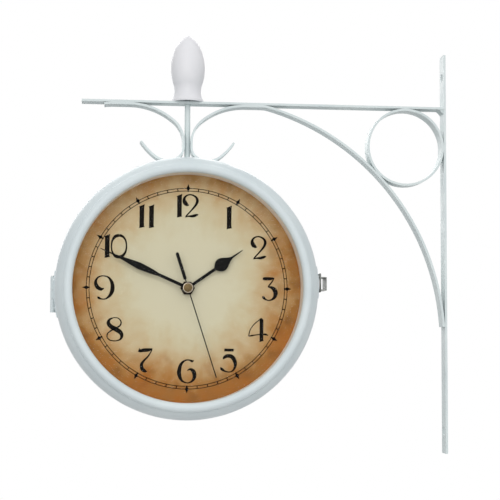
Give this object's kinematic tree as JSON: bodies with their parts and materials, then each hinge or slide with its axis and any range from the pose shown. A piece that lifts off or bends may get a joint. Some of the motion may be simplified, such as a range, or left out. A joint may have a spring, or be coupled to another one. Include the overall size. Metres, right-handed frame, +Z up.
{
  "type": "double-sided wall clock",
  "caption": "Round double-sided wall clock: painted drum case with a dial on each face, hinged and clasped front, hung under a scrolled flat-iron wall bracket with a finial.",
  "frame": {"origin": "on the wall, at the middle of the wall bar's back face, midway between the two screw holes", "axes": "+X into the wall, +Y from the front dial to the rear dial, +Z up"},
  "size_m": [0.3523, 0.094, 0.3724],
  "materials": {
    "painted_iron": "pale grey paint on flat iron, satin",
    "case_paint": "pale grey paint on sheet steel, satin",
    "plated_steel": "zinc plated",
    "clock_glass": "clear, polished",
    "spacer_cream": "matte",
    "dial_print": "matte print on sheet, aged parchment look",
    "hand_black": "black, semi-matte",
    "movement_plastic": "moulded, matte",
    "knob_plastic": "moulded",
    "cell_wrap": "plain printed sleeve",
    "bush_brass": "turned",
    "washer_rubber": "matte"
  },
  "bodies": {
    "bracket_and_case": {"wall_bar": "painted_iron", "top_bar": "painted_iron", "scroll_left": "painted_iron", "scroll_right": "painted_iron", "bracket_hoop": "painted_iron", "hanger_rod": "painted_iron", "finial": "painted_iron", "hanger_nuts": "painted_iron", "hanger_washer": "plated_steel", "corner_weld": "painted_iron", "rear_shell": "case_paint", "rear_bezel": "case_paint", "rear_glass": "clock_glass", "rear_spacer_ring": "spacer_cream", "rear_dial": "dial_print", "rear_retaining_ring": "plated_steel", "rear_movement_housing": "movement_plastic", "rear_movement_cover": "movement_plastic", "rear_battery": "cell_wrap", "rear_battery_contacts": "plated_steel", "rear_center_bush": "bush_brass", "rear_bush_nut": "bush_brass", "rear_bush_washer": "washer_rubber", "hinge_leaf_case": "case_paint", "hinge_pin": "plated_steel", "clasp_base": "case_paint", "clasp_pin": "plated_steel", "case_rivets": "case_paint"},
    "front_door": {"front_shell": "case_paint", "front_bezel": "case_paint", "front_glass": "clock_glass", "front_spacer_ring": "spacer_cream", "front_dial": "dial_print", "front_retaining_ring": "plated_steel", "front_movement_housing": "movement_plastic", "front_movement_cover": "movement_plastic", "front_battery": "cell_wrap", "front_battery_contacts": "plated_steel", "front_center_bush": "bush_brass", "front_bush_nut": "bush_brass", "front_bush_washer": "washer_rubber", "hinge_leaf_door": "case_paint", "clasp_keeper": "case_paint", "door_rivets": "case_paint"},
    "clasp_lever": {"clasp_lever": "plated_steel"},
    "clasp_bail": {"clasp_bail": "plated_steel"},
    "front_minute": {"front_minute_hand": "hand_black", "front_minute_arbor": "bush_brass"},
    "front_hour": {"front_hour_hand": "hand_black", "front_hour_pipe": "bush_brass"},
    "front_second": {"front_second_hand": "hand_black", "front_second_arbor": "plated_steel"},
    "front_setting": {"front_setting_knob": "knob_plastic"},
    "rear_minute": {"rear_minute_hand": "hand_black", "rear_minute_arbor": "bush_brass"},
    "rear_hour": {"rear_hour_hand": "hand_black", "rear_hour_pipe": "bush_brass"},
    "rear_second": {"rear_second_hand": "hand_black", "rear_second_arbor": "plated_steel"},
    "rear_setting": {"rear_setting_knob": "knob_plastic"}
  },
  "joints": [
    {"name": "front_door_hinge", "type": "hinge", "parent": "bracket_and_case", "child": "front_door", "pos_m": [-0.3503, -0.01, -0.041], "axis": [0, 0, -1], "range_deg": [0, 120]},
    {"name": "clasp_lever_pivot", "type": "hinge", "parent": "bracket_and_case", "child": "clasp_lever", "pos_m": [-0.1169, -0.004, -0.029], "axis": [0, 0, -1], "range_deg": [0, 95]},
    {"name": "clasp_bail_pivot", "type": "hinge", "parent": "clasp_lever", "child": "clasp_bail", "pos_m": [-0.1167, 0.003, -0.029], "axis": [0, 0, -1], "range_deg": [-95, 0]},
    {"name": "front_minute_turn", "type": "hinge", "parent": "front_door", "child": "front_minute", "pos_m": [-0.234, 0, -0.035], "axis": [0, 1, 0], "continuous": true},
    {"name": "front_hour_turn", "type": "hinge", "parent": "front_door", "child": "front_hour", "pos_m": [-0.234, 0, -0.035], "axis": [0, 1, 0], "continuous": true},
    {"name": "front_second_turn", "type": "hinge", "parent": "front_door", "child": "front_second", "pos_m": [-0.234, 0, -0.035], "axis": [0, 1, 0], "continuous": true},
    {"name": "front_setting_turn", "type": "hinge", "parent": "front_door", "child": "front_setting", "pos_m": [-0.234, 0, -0.023], "axis": [0, 1, 0], "continuous": true},
    {"name": "rear_minute_turn", "type": "hinge", "parent": "bracket_and_case", "child": "rear_minute", "pos_m": [-0.234, 0, -0.035], "axis": [0, -1, 0], "continuous": true},
    {"name": "rear_hour_turn", "type": "hinge", "parent": "bracket_and_case", "child": "rear_hour", "pos_m": [-0.234, 0, -0.035], "axis": [0, -1, 0], "continuous": true},
    {"name": "rear_second_turn", "type": "hinge", "parent": "bracket_and_case", "child": "rear_second", "pos_m": [-0.234, 0, -0.035], "axis": [0, -1, 0], "continuous": true},
    {"name": "rear_setting_turn", "type": "hinge", "parent": "bracket_and_case", "child": "rear_setting", "pos_m": [-0.234, 0, -0.023], "axis": [0, -1, 0], "continuous": true}
  ],
  "couplings": [
    {"joint": "clasp_bail_pivot", "follows": "clasp_lever_pivot", "ratio": -1},
    {"joint": "front_hour_turn", "follows": "front_minute_turn", "ratio": 0.083333},
    {"joint": "front_setting_turn", "follows": "front_minute_turn", "ratio": -0.33333},
    {"joint": "rear_hour_turn", "follows": "rear_minute_turn", "ratio": 0.083333},
    {"joint": "rear_setting_turn", "follows": "rear_minute_turn", "ratio": -0.33333}
  ]
}
